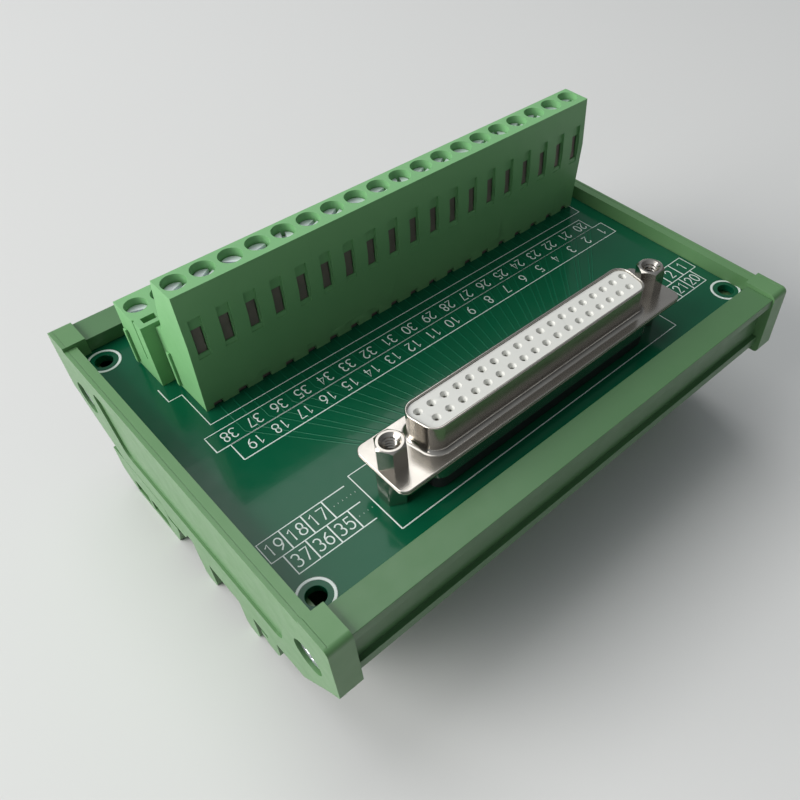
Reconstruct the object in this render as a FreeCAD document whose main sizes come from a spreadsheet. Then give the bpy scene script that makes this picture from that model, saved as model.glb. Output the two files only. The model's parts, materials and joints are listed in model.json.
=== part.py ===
import FreeCAD, Part
import math
import os
from FreeCAD import Placement, Rotation, Vector

# D-sub terminal block adapter on a DIN rail carrier, in millimetres.
# X runs along the connector, -Y is the connector side, +Y the wire side, +Z is up.
# The origin is on the surface that the carrier's feet stand on, below its middle.

os.makedirs("parts", exist_ok=True)
doc = FreeCAD.newDocument("adapter")
sheet = doc.addObject("Spreadsheet::Sheet", "Sizes")

SIZES = [
    # carrier end plates, seen from the end
    ("plate_top", 38.5), ("plate_half_span", 44.7), ("plate_outer", 57.35), ("plate_skin", 2.45),
    ("plate_block", 4.45), ("block_width", 7.0), ("block_drop", 15.1), ("ledge_drop", 0.8),
    ("end_clear", 0.05), ("bed_gap", 0.4), ("bed_lap", 0.5), ("corner_round", 1.2),
    ("arm_round", 1.0), ("toe_round", 0.3), ("step_round", 0.4), ("heel_round", 0.6),
    ("shoulder_in", 3.2), ("shoulder_drop", 2.3), ("latch_shoulder", 1.4), ("hook_shoulder", 0.6),
    ("arm_drop", 26.5), ("arm_side", 32.5), ("arm_side_drop", 25.4), ("arm_end", 31.6),
    ("hook_arm_side", 32.0), ("hook_arm_drop", 27.4), ("beam_drop", 27.0), ("beam_end", 6.4),
    # long shallow panel in each plate's outer face, near the hook side and far from it
    ("panel_depth", 0.5), ("panel_low_near", 27.5), ("panel_top_near", 31.5),
    ("panel_top_far", 30.5), ("panel_low_far", 26.0), ("panel_drop_near", 6.5),
    ("panel_drop_far", 5.0), ("panel_foot_near", 21.0), ("panel_foot_far", 20.5),
    ("panel_round_low", 3.0), ("panel_round_top", 2.0),
    # feet on the rail
    ("rail_width", 35.0), ("rail_flange", 4.0), ("rail_thick", 1.0), ("rail_seat", 8.5),
    ("rail_middle", -2.1), ("rail_play", 0.3), ("seat_end", 8.4), ("latch_lean", 0.3),
    ("hook_bite", 2.4), ("hook_lip", 1.2), ("hook_tip", 4.0), ("hook_root", 0.4),
    ("hook_in", 2.2), ("hook_side", 3.3), ("hook_side_high", 5.6), ("hook_thick", 3.6),
    ("hook_top_drop", 28.0), ("prong_wide", 4.6), ("prong_gap", 10.6),
    ("far_toe_high", 0.9), ("far_toe_in", 1.4), ("far_toe_out", 0.8), ("far_toe_rise", 1.4),
    ("near_toe_high", 1.2), ("near_toe_in", 1.2), ("near_toe_out", 1.0), ("near_toe_rise", 1.6),
    # screws that hold the plates
    ("plate_screw_across", 37.0), ("plate_screw_below", 8.6), ("plate_screw_bore", 1.6),
    ("plate_screw_shank", 1.5), ("plate_screw_head", 2.75), ("plate_head_high", 1.7),
    ("plate_screw_sink", 3.5), ("plate_sink_deep", 2.2), ("plate_screw_long", 12.0),
    ("cross_long", 3.2), ("cross_wide", 0.7), ("cross_deep", 1.0),
    # extruded carrier, section seen from the end, heights above the board's top face
    ("board_drop", 3.8), ("lip_top", 3.0), ("lip_outer", 44.3), ("lip_inner", 38.2),
    ("lip_thick", 2.0), ("web_outer", 42.6), ("web_thick", 1.4), ("ledge_inner", 38.6),
    ("ledge_thick", 1.2), ("foot_outer", 43.6), ("foot_top", 7.4), ("foot_thick", 2.0),
    ("floor_low", 11.3), ("floor_thick", 1.6), ("port_outer", 2.7), ("port_hole", 1.55),
    ("board_clear", 0.1), ("rib_high", 1.4), ("rib_wide", 1.4), ("rib_place", 13.5),
    # circuit board
    ("board_end", 0.15), ("board_deep", 82.0), ("board_thick", 1.6), ("hole_long", 104.5),
    ("hole_deep", 68.3), ("hole_across", 3.4), ("leg_clear", 0.05),
    # D-sub connector
    ("dsub_place", -27.7), ("flange_long", 69.32), ("flange_deep", 12.55), ("flange_round", 1.6),
    ("flange_sheet", 0.5), ("flange_height", 8.2), ("jack_spacing", 63.5), ("flange_hole", 1.55),
    ("hood_wide", 54.84), ("hood_deep", 7.9), ("hood_high", 5.7), ("hood_sheet", 0.45),
    ("hood_round", 2.6), ("hood_roll", 1.0), ("side_lean", 10.0),
    ("rear_wide", 57.3), ("rear_deep", 10.7), ("rear_high", 4.2), ("rear_base", 0.6),
    ("insert_clear", 0.05), ("insert_sink", 0.35), ("contact_pitch", 2.77), ("contact_rows", 2.84),
    ("contact_hole", 0.75), ("contact_sink", 1.6), ("socket_wide", 1.2), ("tail_wide", 0.6),
    ("tail_below", 3.2), ("tail_hole", 0.9),
    # jack posts and spacers
    ("hex_flats", 4.75), ("jack_high", 5.05), ("jack_thread", 1.2), ("jack_deep", 4.0),
    ("stud_round", 1.4), ("stud_long", 4.5), ("fit_clear", 0.08), ("spacer_flats", 5.0),
    ("under_head", 2.7), ("under_high", 1.6), ("under_long", 2.6), ("under_slot", 0.8),
    ("board_bolt_hole", 1.65),
    # terminal blocks, two levels half a pitch apart
    ("pole_pitch", 5.08), ("pole_left", -44.83), ("tall_near", 7.7), ("tall_base", 9.4),
    ("tall_kink", 16.45), ("tall_top", 26.8),
    ("tall_back", 13.9), ("tall_waist", 17.4), ("low_near", 20.5), ("low_front", 30.5),
    ("low_top", 13.9), ("low_lip", 2.0), ("waist_rise", 0.6), ("step_low", 1.0), ("lip_in", 0.8),
    ("tall_screw", 11.1), ("low_screw", 27.0), ("tall_pin", 10.35), ("low_pin", 24.75),
    ("screw_bore", 2.1), ("screw_sink", 1.5),
    ("head_round", 1.95), ("head_high", 2.0), ("slot_wide", 0.7), ("slot_deep", 0.9),
    ("shank_round", 1.3), ("shelf_thick", 0.7), ("shelf_hole", 2.9), ("cage_wide", 3.9),
    ("cage_deep", 3.6), ("cage_high", 5.6), ("cage_roof", 1.4), ("cage_floor", 0.8),
    ("cage_wall", 0.55), ("cage_travel", 2.0), ("cage_play", 0.2), ("cage_offset", 0.2),
    ("tab_thick", 0.7), ("tab_gap", 0.2), ("strip_wide", 1.6), ("pin_below", 1.8),
    ("tab_short", 0.5), ("bend_drop", 2.6), ("strip_clear", 0.05), ("lane_clear", 0.1),
    ("pin_hole", 1.0), ("pin_lane", 1.9), ("wire_wide", 3.4), ("wire_high", 3.4),
    ("mouth_lap", 0.1),
    ("mouth_deep", 8.0),
    ("window_wide", 1.9), ("window_low", 13.6), ("window_high", 5.4), ("window_lap", 0.5),
    ("window_deep", 2.2), ("notch_wide", 1.9),
    ("notch_high", 1.2), ("notch_deep", 3.0), ("vent_place", 1.7), ("vent_wide", 2.6),
    ("vent_deep", 1.5), ("vent_sink", 3.0),
    # rail latches
    ("latch_long", 21.3), ("latch_wide", 5.8), ("latch_travel", 3.3),
    ("latch_gap", 0.3), ("latch_nose", 3.0), ("guide_stem", 1.0), ("guide_foot", 2.0),
    ("guide_inset", 1.85),
    ("guide_deep", 4.6), ("guide_start", 1.6), ("guide_end", 31.0), ("guide_root", 0.5),
    ("slot_under", 0.5),
    ("nose_thick", 1.4), ("latch_foot", 0.6), ("tail_in", 4.5), ("tail_rise", 4.2),
    ("tail_round", 2.0), ("back_round", 0.8), ("latch_step", 0.4), ("latch_step_in", 5.4),
    ("pocket_start", 2.2), ("pocket_middle", 9.6), ("pocket_far", 6.4), ("pocket_low", 1.4),
    ("pocket_high", 4.9),
    ("guide_thick", 1.3), ("pocket_deep", 3.0), ("rib_thin", 1.2),
]
for row, (alias, value) in enumerate(SIZES, start=1):
    sheet.set("A%d" % row, alias)
    sheet.set("B%d" % row, "%g" % value)
    sheet.setAlias("B%d" % row, alias)
doc.recompute()


def v(alias):
    """The value of one driving dimension."""
    return float(sheet.get(alias))


def bound(text):
    """An expression over the sheet, where @name stands for a driving dimension."""
    return text.replace("@", "Sizes.")


def new_body(label):
    body = doc.addObject("PartDesign::Body", label)
    body.Label = label
    return body


def draw(body, role, loops, offset="0"):
    """A sketch of closed loops on one of the body's own planes, moved along its normal."""
    sketch = body.newObject("Sketcher::SketchObject", body.Name + "_sketch")
    plane = [f for f in body.Origin.OriginFeatures if f.Role == role][0]
    sketch.AttachmentSupport = [(plane, "")]
    sketch.MapMode = "FlatFace"
    sketch.setExpression("AttachmentOffset.Base.z", bound(offset))
    geometry = []
    for loop in loops:
        geometry.extend(loop)
    sketch.addGeometry(geometry, False)
    return sketch


def add(body, sketch, length, both=False, back=False):
    feature = body.newObject("PartDesign::Pad", body.Name + "_pad")
    feature.Profile = sketch
    feature.setExpression("Length", bound(length))
    feature.Midplane = both
    feature.Reversed = back
    body.Tip = feature
    sketch.Visibility = False
    return feature


def cut(body, sketch, depth, both=False, back=False):
    feature = body.newObject("PartDesign::Pocket", body.Name + "_cut")
    feature.Profile = sketch
    feature.setExpression("Length", bound(depth))
    feature.Midplane = both
    feature.Reversed = back
    body.Tip = feature
    sketch.Visibility = False
    return feature


def polygon(points):
    """Straight edges through the points, closed."""
    corners = [Vector(a, b, 0) for a, b in points]
    pairs = zip(corners, corners[1:] + corners[:1])
    return [Part.LineSegment(p, q) for p, q in pairs]


def rounded(points, radii):
    """A closed outline whose corners are rounded by the given radii, 0 for a sharp one."""
    corners = [Vector(a, b, 0) for a, b in points]
    if not isinstance(radii, (list, tuple)):
        radii = [radii] * len(corners)
    ends = []
    for i, corner in enumerate(corners):
        before = (corners[i - 1] - corner).normalize()
        after = (corners[(i + 1) % len(corners)] - corner).normalize()
        if radii[i] <= 0:
            ends.append((corner, None, corner))
            continue
        half = before.getAngle(after) / 2
        reach = radii[i] / math.tan(half)
        bisector = (before + after).normalize()
        middle = corner + bisector * (radii[i] / math.sin(half) - radii[i])
        ends.append((corner + before * reach, middle, corner + after * reach))
    edges = []
    for i, (start, middle, stop) in enumerate(ends):
        if middle is not None:
            edges.append(Part.Arc(start, middle, stop))
        following = ends[(i + 1) % len(ends)][0]
        if stop.distanceToPoint(following) > 1e-6:
            edges.append(Part.LineSegment(stop, following))
    return edges


def box(a0, b0, a1, b1):
    return polygon([(a0, b0), (a1, b0), (a1, b1), (a0, b1)])


def centred(a, b, wide, high):
    return box(a - wide / 2, b - high / 2, a + wide / 2, b + high / 2)


def circle(a, b, radius):
    return [Part.Circle(Vector(a, b, 0), Vector(0, 0, 1), radius)]


def hexagon(a, b, flats):
    radius = flats / math.sqrt(3)
    turns = [math.radians(60 * k + 30) for k in range(6)]
    return polygon([(a + radius * math.cos(t), b + radius * math.sin(t)) for t in turns])


def copies(label, master, places):
    """One node holding a copy of the master piece at each place."""
    shapes = [master.Shape.transformed(p.toMatrix(), True) for p in places]
    feature = doc.addObject("Part::Feature", label)
    feature.Label = label
    feature.Shape = shapes[0] if len(shapes) == 1 else Part.makeCompound(shapes)
    return feature


nodes = []


def group_of(label, members):
    """One node that holds several separate pieces."""
    group = doc.addObject("Part::Compound", label)
    group.Label = label
    group.Links = members
    nodes.append(group)


# Smallest length that counts when faces and edges are compared.
TINY = 0.001

# Heights that several pieces share.
board_top = v("plate_top") - v("board_drop")
board_low = board_top - v("board_thick")
BOARD = "@plate_top - @board_drop"


# Extruded carrier: a tray whose two side channels grip the board's long edges.
def carrier_profile():
    body = new_body("carrier_profile")
    lip_low = board_top + v("board_clear")
    ledge_top = board_low - v("board_clear")
    web_inner = v("web_outer") - v("web_thick")
    floor_low = board_top - v("floor_low")
    floor_top = floor_low + v("floor_thick")
    foot_top = board_top - v("foot_top")
    half = [
        (v("plate_screw_across"), floor_low),
        (v("foot_outer"), foot_top - v("foot_thick")),
        (v("foot_outer"), foot_top),
        (v("web_outer"), foot_top),
        (v("web_outer"), board_top + v("lip_top") - v("lip_thick")),
        (v("lip_outer"), board_top + v("lip_top") - v("lip_thick")),
        (v("lip_outer"), board_top + v("lip_top")),
        (v("lip_inner"), board_top + v("lip_top")),
        (v("lip_inner"), lip_low),
        (web_inner, lip_low),
        (web_inner, ledge_top),
        (v("ledge_inner"), ledge_top),
        (v("ledge_inner"), ledge_top - v("ledge_thick")),
        (web_inner, ledge_top - v("ledge_thick")),
        (web_inner, floor_top),
    ]
    for place in (v("rib_place") * 2, v("rib_place")):
        half.append((place + v("rib_wide") / 2, floor_top))
        half.append((place + v("rib_wide") / 2, floor_top + v("rib_high")))
        half.append((place - v("rib_wide") / 2, floor_top + v("rib_high")))
        half.append((place - v("rib_wide") / 2, floor_top))
    other = [(-a, b) for a, b in reversed(half)]
    long = "2 * (@plate_outer - @plate_block - @end_clear)"
    add(body, draw(body, "YZ_Plane", [polygon(half + other)]), long, both=True)
    ports = [circle(s * v("plate_screw_across"), board_top - v("plate_screw_below"), v("port_outer"))
             for s in (-1, 1)]
    add(body, draw(body, "YZ_Plane", ports), long, both=True)
    holes = [circle(s * v("plate_screw_across"), board_top - v("plate_screw_below"), v("port_hole"))
             for s in (-1, 1)]
    cut(body, draw(body, "YZ_Plane", holes), long, both=True)
    nodes.append(body)


# End plates: moulded, with corner blocks over the carrier's ends and feet for a 35 mm rail.
def rail_edge(side):
    """Y of the rail's edge on the hook side (-1) or the latch side (+1)."""
    return v("rail_middle") + side * v("rail_width") / 2


def end_plate(label, side):
    body = new_body(label)
    top = v("plate_top")
    far = v("plate_half_span")
    low = top - v("block_drop")
    seat = v("rail_seat")
    flange_low = seat - v("rail_thick") - v("rail_play")
    hook_back = rail_edge(-1) - v("rail_play")
    near_prong = rail_edge(-1) + v("rail_flange") + v("rail_play")
    far_prong = near_prong + v("prong_wide") + v("prong_gap")
    latch_face = rail_edge(1) + v("rail_play")
    arm = top - v("arm_drop")
    beam = top - v("beam_drop")
    corner = v("corner_round")
    soft = v("arm_round")
    toe = v("toe_round")
    step = v("step_round")
    heel = v("heel_round")
    points = [
        (-far, top, corner), (far, top, corner), (far, low + v("latch_shoulder"), soft),
        (far - v("shoulder_in"), low - v("shoulder_drop"), soft),
        (v("arm_side"), top - v("arm_side_drop"), soft), (v("arm_end"), arm, soft),
        (latch_face, arm, 0), (latch_face - v("latch_lean"), seat, 0),
        (v("seat_end"), seat, step), (v("beam_end"), beam, step),
    ]
    for prong, root, word in ((far_prong, beam, "far"), (near_prong, seat, "near")):
        wide = prong + v("prong_wide")
        points += [
            (wide, root, toe), (wide, v(word + "_toe_high"), toe), (wide - v(word + "_toe_in"), 0, toe),
            (prong + v(word + "_toe_out"), 0, toe), (prong, v(word + "_toe_rise"), toe), (prong, seat, toe),
        ]
    points += [
        (hook_back, seat, 0), (hook_back, flange_low, 0), (hook_back + v("hook_bite"), flange_low, 0),
        (hook_back + v("hook_bite"), flange_low - v("hook_lip"), 0),
        (hook_back + v("hook_root"), v("hook_tip"), toe), (hook_back - v("hook_in"), v("hook_tip"), toe),
        (hook_back - v("hook_side"), v("hook_side_high"), toe),
        (hook_back - v("hook_thick"), top - v("hook_top_drop"), toe),
        (-v("hook_arm_side"), top - v("hook_arm_drop"), heel),
        (v("shoulder_in") - far, low - v("shoulder_drop"), heel), (-far, low + v("hook_shoulder"), soft),
    ]
    outline = rounded([(a, b) for a, b, r in points], [r for a, b, r in points])
    outer_x = "%d * @plate_outer" % side
    back = side > 0
    add(body, draw(body, "YZ_Plane", [outline], outer_x), "@plate_skin", back=back)
    block_in = far - v("block_width")
    blocks = [rounded([(s * block_in, low), (s * far, low), (s * far, top), (s * block_in, top)],
                      [0, soft, corner, 0]) for s in (-1, 1)]
    add(body, draw(body, "YZ_Plane", blocks, outer_x), "@plate_block", back=back)
    bed_reach = block_in + v("bed_lap")
    bed = box(-bed_reach, low, bed_reach, board_low - v("bed_gap"))
    add(body, draw(body, "YZ_Plane", [bed], outer_x), "@plate_block", back=back)
    # A seat in each block's inner face for the corner of the board.
    seat_reach = v("board_deep") / 2 + v("board_clear")
    board_seat = box(-seat_reach, board_low - v("board_clear"), seat_reach, board_top + v("board_clear"))
    inner_x = "%d * (@plate_outer - @plate_block)" % side
    cut(body, draw(body, "YZ_Plane", [board_seat], inner_x), "@plate_block - @plate_skin", back=back)
    across = v("plate_screw_across")
    screw_z = board_top - v("plate_screw_below")
    bores = [circle(s * across, screw_z, v("plate_screw_bore")) for s in (-1, 1)]
    cut(body, draw(body, "YZ_Plane", bores, outer_x), "@plate_block + 1", back=not back)
    sinks = [circle(s * across, screw_z, v("plate_screw_sink")) for s in (-1, 1)]
    cut(body, draw(body, "YZ_Plane", sinks, outer_x), "@plate_sink_deep", back=not back)
    corners = [
        (-v("panel_low_near"), top - v("panel_foot_near")),
        (-v("panel_top_near"), top - v("panel_drop_near")),
        (v("panel_top_far"), top - v("panel_drop_far")),
        (v("panel_low_far"), top - v("panel_foot_far")),
    ]
    round_low = v("panel_round_low")
    round_top = v("panel_round_top")
    panel = rounded(corners, [round_low, round_top, round_top, round_low])
    cut(body, draw(body, "YZ_Plane", [panel], outer_x), "@panel_depth", back=not back)
    ledge = box(-block_in, top - v("ledge_drop"), block_in, top + 1)
    cut(body, draw(body, "YZ_Plane", [ledge], outer_x), "@plate_block", back=not back)
    # The latch's guide: a T rail under the plate's arm.
    stem_x = side * (v("plate_outer") - v("guide_inset"))
    start = latch_face + v("latch_travel") + v("guide_start")
    long = v("guide_end") - start
    middle = start + long / 2
    stem = centred(stem_x, middle, v("guide_stem"), long)
    root = "@plate_top - @arm_drop + @guide_root"
    add(body, draw(body, "XY_Plane", [stem], root), "@guide_deep + @guide_root", back=True)
    foot = centred(stem_x, middle, v("guide_foot"), long)
    add(body, draw(body, "XY_Plane", [foot], "@plate_top - @arm_drop - @guide_deep"), "@guide_thick")
    nodes.append(body)


# Rail latch: slides on the T rail, its nose reaches under the rail's edge.
def rail_latch(label, side):
    body = new_body(label)
    face = rail_edge(1) + v("rail_play")
    top = v("plate_top") - v("arm_drop") - v("latch_gap")
    nose_top = v("rail_seat") - v("rail_thick") - v("rail_play")
    nose = face - v("latch_nose") - v("rail_play")
    end = face + v("latch_long")
    points = [
        (face, top, 0), (face, nose_top, 0), (nose, nose_top, v("toe_round")),
        (nose, nose_top - v("nose_thick"), v("toe_round")), (face - v("latch_foot"), 0, v("heel_round")),
        (end - v("tail_in"), 0, v("tail_round")), (end, v("tail_rise"), v("back_round")),
        (end, top - v("latch_step"), v("step_round")), (end - v("latch_step_in"), top, 0),
    ]
    outline = rounded([(a, b) for a, b, r in points], [r for a, b, r in points])
    outer_x = "%d * @plate_outer" % side
    back = side > 0
    add(body, draw(body, "YZ_Plane", [outline], outer_x), "@latch_wide", back=back)
    # T slot for the guide, open at both ends and at the top.
    gap = v("latch_gap")
    stem_x = side * (v("plate_outer") - v("guide_inset"))
    middle = (face + end) / 2
    through = 2 * v("latch_long")
    slot = centred(stem_x, middle, v("guide_stem") + 2 * gap, through)
    root = "@plate_top - @arm_drop + @guide_root"
    cut(body, draw(body, "XY_Plane", [slot], root), "@guide_root + @guide_deep + @slot_under")
    wide = centred(stem_x, middle, v("guide_foot") + 2 * gap, through)
    foot_z = "@plate_top - @arm_drop - @guide_deep + @guide_thick + @latch_gap"
    cut(body, draw(body, "XY_Plane", [wide], foot_z), "@guide_thick + 2 * @latch_gap")
    # Two hollows in the outer face, with a thin rib between.
    rib = face + v("pocket_middle")
    half = v("rib_thin") / 2
    low = v("pocket_low")
    high = v("pocket_high")
    hollows = [
        box(face + v("pocket_start"), low, rib - half, high),
        box(rib + half, low, rib + v("pocket_far"), high),
    ]
    cut(body, draw(body, "YZ_Plane", hollows, outer_x), "@pocket_deep", back=not back)
    nodes.append(body)


def plate_screws(label, side):
    """Two round-headed screws with a cross slot that hold one end plate to the carrier."""
    height = board_top - v("plate_screw_below")
    seat_x = "%d * (@plate_outer - @plate_sink_deep)" % side
    head_x = "%d * (@plate_outer - @plate_sink_deep + @plate_head_high)" % side
    back = side > 0
    singles = []
    for end, word in ((-1, "near"), (1, "far")):
        across = end * v("plate_screw_across")
        one = new_body("%s_%s" % (label, word))
        head = circle(across, height, v("plate_screw_head"))
        add(one, draw(one, "YZ_Plane", [head], seat_x), "@plate_head_high", back=not back)
        shank = circle(across, height, v("plate_screw_shank"))
        add(one, draw(one, "YZ_Plane", [shank], seat_x), "@plate_screw_long", back=back)
        for wide, high in ((v("cross_long"), v("cross_wide")), (v("cross_wide"), v("cross_long"))):
            arm = draw(one, "YZ_Plane", [centred(across, height, wide, high)], head_x)
            cut(one, arm, "@cross_deep", back=not back)
        singles.append(one)
    group_of(label, singles)


# Circuit board with plated holes for every leg and the fixing holes at its corners.
def contact_places():
    """Plan positions of the contacts: the long row on the wire side, the short one opposite."""
    half = v("contact_rows") / 2
    rows = ((19, half), (18, -half))
    places = []
    for count, shift in rows:
        for k in range(count):
            places.append(((k - (count - 1) / 2) * v("contact_pitch"), v("dsub_place") + shift))
    return places


def pole_places(first, count, low):
    """X of the poles of one module at the upper or the lower level."""
    shift = v("pole_pitch") / 2 if not low else 0.0
    return [v("pole_left") + shift + (first + k) * v("pole_pitch") for k in range(count)]


# Modules of the terminal row: the first pole of each and how many it has.
MODULES = [(0, 5), (5, 5), (10, 5), (15, 4)]


def circuit_board():
    body = new_body("circuit_board")
    half_long = v("plate_outer") - v("plate_skin") - v("board_end")
    half_deep = v("board_deep") / 2
    loops = [box(-half_long, -half_deep, half_long, half_deep)]
    for sx in (-1, 1):
        for sy in (-1, 1):
            loops.append(circle(sx * v("hole_long") / 2, sy * v("hole_deep") / 2, v("hole_across") / 2))
        loops.append(circle(sx * v("jack_spacing") / 2, v("dsub_place"), v("board_bolt_hole")))
    for x, y in contact_places():
        loops.append(centred(x, y, v("tail_hole"), v("tail_hole")))
    for first, count in MODULES:
        for low, y in ((False, v("tall_pin")), (True, v("low_pin"))):
            for x in pole_places(first, count, low):
                loops.append(centred(x, y, v("pin_lane") + 2 * v("leg_clear"), v("pin_hole")))
    add(body, draw(body, "XY_Plane", loops, BOARD), "@board_thick", back=True)
    nodes.append(body)


# D-sub connector: two pressed shells round two moulded inserts.
def hood_outline(wide, deep, radius, inset=0.0):
    """The D shape: wide on the +Y side, both ends leaning in by side_lean."""
    lean = math.tan(math.radians(v("side_lean")))
    y = v("dsub_place")
    w = wide / 2 - inset
    d = deep / 2 - inset
    points = [(-w, y + d), (-w + 2 * d * lean, y - d), (w - 2 * d * lean, y - d), (w, y + d)]
    return rounded(points, radius - inset)


def flange_loops():
    y = v("dsub_place")
    a = v("flange_long") / 2
    b = v("flange_deep") / 2
    sheet_edge = rounded([(-a, y - b), (a, y - b), (a, y + b), (-a, y + b)], v("flange_round"))
    holes = [circle(s * v("jack_spacing") / 2, y, v("flange_hole")) for s in (-1, 1)]
    return [sheet_edge] + holes


def dsub_front_shell():
    body = new_body("dsub_front_shell")
    top = BOARD + " + @flange_height"
    add(body, draw(body, "XY_Plane", flange_loops(), top), "@flange_sheet", back=True)
    hood = hood_outline(v("hood_wide"), v("hood_deep"), v("hood_round"))
    add(body, draw(body, "XY_Plane", [hood], top), "@hood_high")
    doc.recompute()
    base = board_top + v("flange_height")
    pressed = body.Tip
    edges = []
    for number, edge in enumerate(pressed.Shape.Edges, start=1):
        span = edge.BoundBox
        on_base = abs(span.ZMin - base) < TINY and abs(span.ZMax - base) < TINY
        long_way = max(span.XMax, -span.XMin)
        deep_way = max(span.YMax - v("dsub_place"), v("dsub_place") - span.YMin)
        if on_base and long_way < v("hood_wide") / 2 + TINY and deep_way < v("hood_deep") / 2 + TINY:
            edges.append("Edge%d" % number)
    roll = body.newObject("PartDesign::Fillet", "hood_roll")
    roll.Base = (pressed, edges)
    roll.setExpression("Radius", bound("@hood_roll"))
    body.Tip = roll
    inner = hood_outline(v("hood_wide"), v("hood_deep"), v("hood_round"), v("hood_sheet"))
    cut(body, draw(body, "XY_Plane", [inner], top + " + @hood_high"), "@hood_high + @flange_sheet + 1")
    nodes.append(body)


def dsub_rear_shell():
    body = new_body("dsub_rear_shell")
    top = BOARD + " + @flange_height - @flange_sheet"
    add(body, draw(body, "XY_Plane", flange_loops(), top), "@flange_sheet", back=True)
    cup = hood_outline(v("rear_wide"), v("rear_deep"), v("hood_round"))
    add(body, draw(body, "XY_Plane", [cup], top), "@rear_high", back=True)
    inner = hood_outline(v("rear_wide"), v("rear_deep"), v("hood_round"), v("hood_sheet"))
    cut(body, draw(body, "XY_Plane", [inner], top), "@rear_high + 1")
    nodes.append(body)


def dsub_front_insulator():
    body = new_body("dsub_front_insulator")
    inset = v("hood_sheet") + v("insert_clear")
    face = hood_outline(v("hood_wide"), v("hood_deep"), v("hood_round"), inset)
    top = BOARD + " + @flange_height + @hood_high - @insert_sink"
    high = "@hood_high - @insert_sink + @flange_sheet"
    add(body, draw(body, "XY_Plane", [face], top), high, back=True)
    holes = [circle(x, y, v("contact_hole")) for x, y in contact_places()]
    cut(body, draw(body, "XY_Plane", holes, top), "@contact_sink")
    well = v("socket_wide") + 2 * v("leg_clear")
    wells = [centred(x, y, well, well) for x, y in contact_places()]
    cut(body, draw(body, "XY_Plane", wells, top + " - @contact_sink"), "@hood_high + 1")
    nodes.append(body)


def dsub_rear_insulator():
    body = new_body("dsub_rear_insulator")
    inset = v("hood_sheet") + v("insert_clear")
    block = hood_outline(v("rear_wide"), v("rear_deep"), v("hood_round"), inset)
    top = BOARD + " + @flange_height - @flange_sheet"
    lane = v("tail_wide") + 2 * v("leg_clear")
    lanes = [centred(x, y, lane, lane) for x, y in contact_places()]
    add(body, draw(body, "XY_Plane", [block] + lanes, top),
        "@flange_height - @flange_sheet - @rear_base", back=True)
    nodes.append(body)


def dsub_contacts():
    master = new_body("contact_master")
    top = BOARD + " + @flange_height + @hood_high - @insert_sink - @contact_sink"
    step = BOARD + " + @flange_height - @flange_sheet"
    add(master, draw(master, "XY_Plane", [centred(0, 0, v("tail_wide"), v("tail_wide"))], step),
        "@flange_height - @flange_sheet + @tail_below", back=True)
    wide = v("socket_wide")
    add(master, draw(master, "XY_Plane", [centred(0, 0, wide, wide)], top),
        "@hood_high - @insert_sink - @contact_sink + @flange_sheet", back=True)
    doc.recompute()
    places = [Placement(Vector(x, y, 0), Rotation()) for x, y in contact_places()]
    nodes.append(copies("dsub_contacts", master, places))


def jack_post(label, side):
    """Hexagonal post with a female thread above and a stud into the spacer below."""
    body = new_body(label)
    x = side * v("jack_spacing") / 2
    y = v("dsub_place")
    base = BOARD + " + @flange_height"
    add(body, draw(body, "XY_Plane", [hexagon(x, y, v("hex_flats"))], base), "@jack_high")
    add(body, draw(body, "XY_Plane", [circle(x, y, v("stud_round"))], base), "@stud_long", back=True)
    cut(body, draw(body, "XY_Plane", [circle(x, y, v("jack_thread"))], base + " + @jack_high"), "@jack_deep")
    nodes.append(body)


def jack_spacers():
    """Two hexagonal spacers that carry the connector's flange over the board."""
    singles = []
    for side, word in ((-1, "left"), (1, "right")):
        body = new_body("jack_spacer_" + word)
        x = side * v("jack_spacing") / 2
        bore = circle(x, v("dsub_place"), v("stud_round") + v("fit_clear"))
        outline = hexagon(x, v("dsub_place"), v("spacer_flats"))
        add(body, draw(body, "XY_Plane", [outline, bore], BOARD), "@flange_height - 2 * @flange_sheet")
        singles.append(body)
    group_of("jack_spacers", singles)


def board_bolts():
    """Two pan-headed screws under the board, into the spacers."""
    singles = []
    for side, word in ((-1, "left"), (1, "right")):
        body = new_body("board_bolt_" + word)
        x = side * v("jack_spacing") / 2
        low = BOARD + " - @board_thick"
        head = circle(x, v("dsub_place"), v("under_head"))
        add(body, draw(body, "XY_Plane", [head], low), "@under_high", back=True)
        shank = circle(x, v("dsub_place"), v("stud_round"))
        add(body, draw(body, "XY_Plane", [shank], low), "@board_thick + @under_long")
        slot = centred(x, v("dsub_place"), 3 * v("under_head"), v("under_slot"))
        cut(body, draw(body, "XY_Plane", [slot], low + " - @under_high"), "@under_slot", back=True)
        singles.append(body)
    group_of("board_bolts", singles)


# Terminal blocks: one moulding per module, upper poles behind, lower poles in front.
def level(low):
    """Heights above the board and depths for one level's clamp."""
    top = v("low_top") if low else v("tall_top")
    head_top = top - v("screw_sink")
    head_low = head_top - v("head_high")
    cavity_top = head_low - v("shelf_thick")
    cage_top = cavity_top - v("cage_travel") - v("cage_play")
    cage_low = cage_top - v("cage_high")
    tab_top = cage_top - v("cage_roof") - v("tab_gap")
    screw_y = v("low_screw") if low else v("tall_screw")
    cage_y = screw_y + (0.0 if low else v("cage_offset"))
    return {
        "top": top, "head_top": head_top, "head_low": head_low, "cavity_top": cavity_top,
        "cage_top": cage_top, "cage_low": cage_low, "cavity_low": cage_low - v("cage_play"),
        "tab_top": tab_top, "screw_y": screw_y,
        "cage_near": cage_y - v("cage_deep") / 2, "cage_far": cage_y + v("cage_deep") / 2,
        "strip_near": cage_y - v("cage_deep") / 2 - v("cage_play") - v("tab_thick"),
        "pin_y": v("low_pin") if low else v("tall_pin"),
    }


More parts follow.
